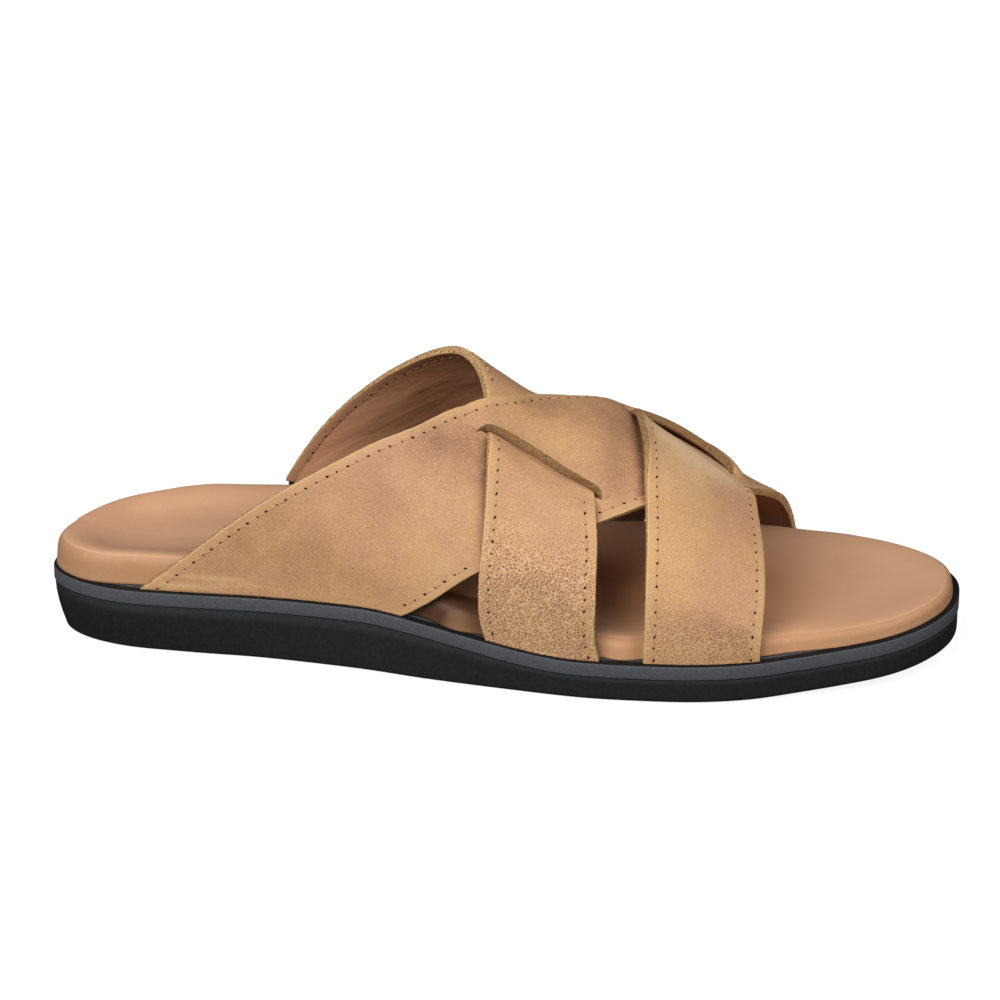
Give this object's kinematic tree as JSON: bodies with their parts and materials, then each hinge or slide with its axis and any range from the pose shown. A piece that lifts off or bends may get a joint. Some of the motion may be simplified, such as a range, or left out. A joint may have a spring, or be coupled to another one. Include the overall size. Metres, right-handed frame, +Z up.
{
  "type": "slip-on sandal",
  "caption": "Slip-on leather sandal with two crossed straps over the instep, a contoured footbed and a low wedge sole.",
  "frame": {"origin": "on the floor, below the middle of the sole's box", "axes": "+X from heel to toe, +Z up, +Y towards the inner (medial) side of this right shoe"},
  "size_m": [0.29, 0.1092, 0.0892],
  "materials": {
    "outsole_rubber": "matte black moulded rubber foam",
    "midsole_foam": "matte blue-grey foam, cut edge",
    "footbed_leather": "smooth satin tan leather wrapped over foam",
    "strap_leather": "waxy tan full-grain leather with fine grain and raw edges",
    "gore_elastic": "matte black woven elastic"
  },
  "bodies": {
    "root": {"outsole": "outsole_rubber", "midsole": "midsole_foam", "insole": "footbed_leather", "upper": "strap_leather", "elastic_gore": "gore_elastic"}
  },
  "joints": []
}
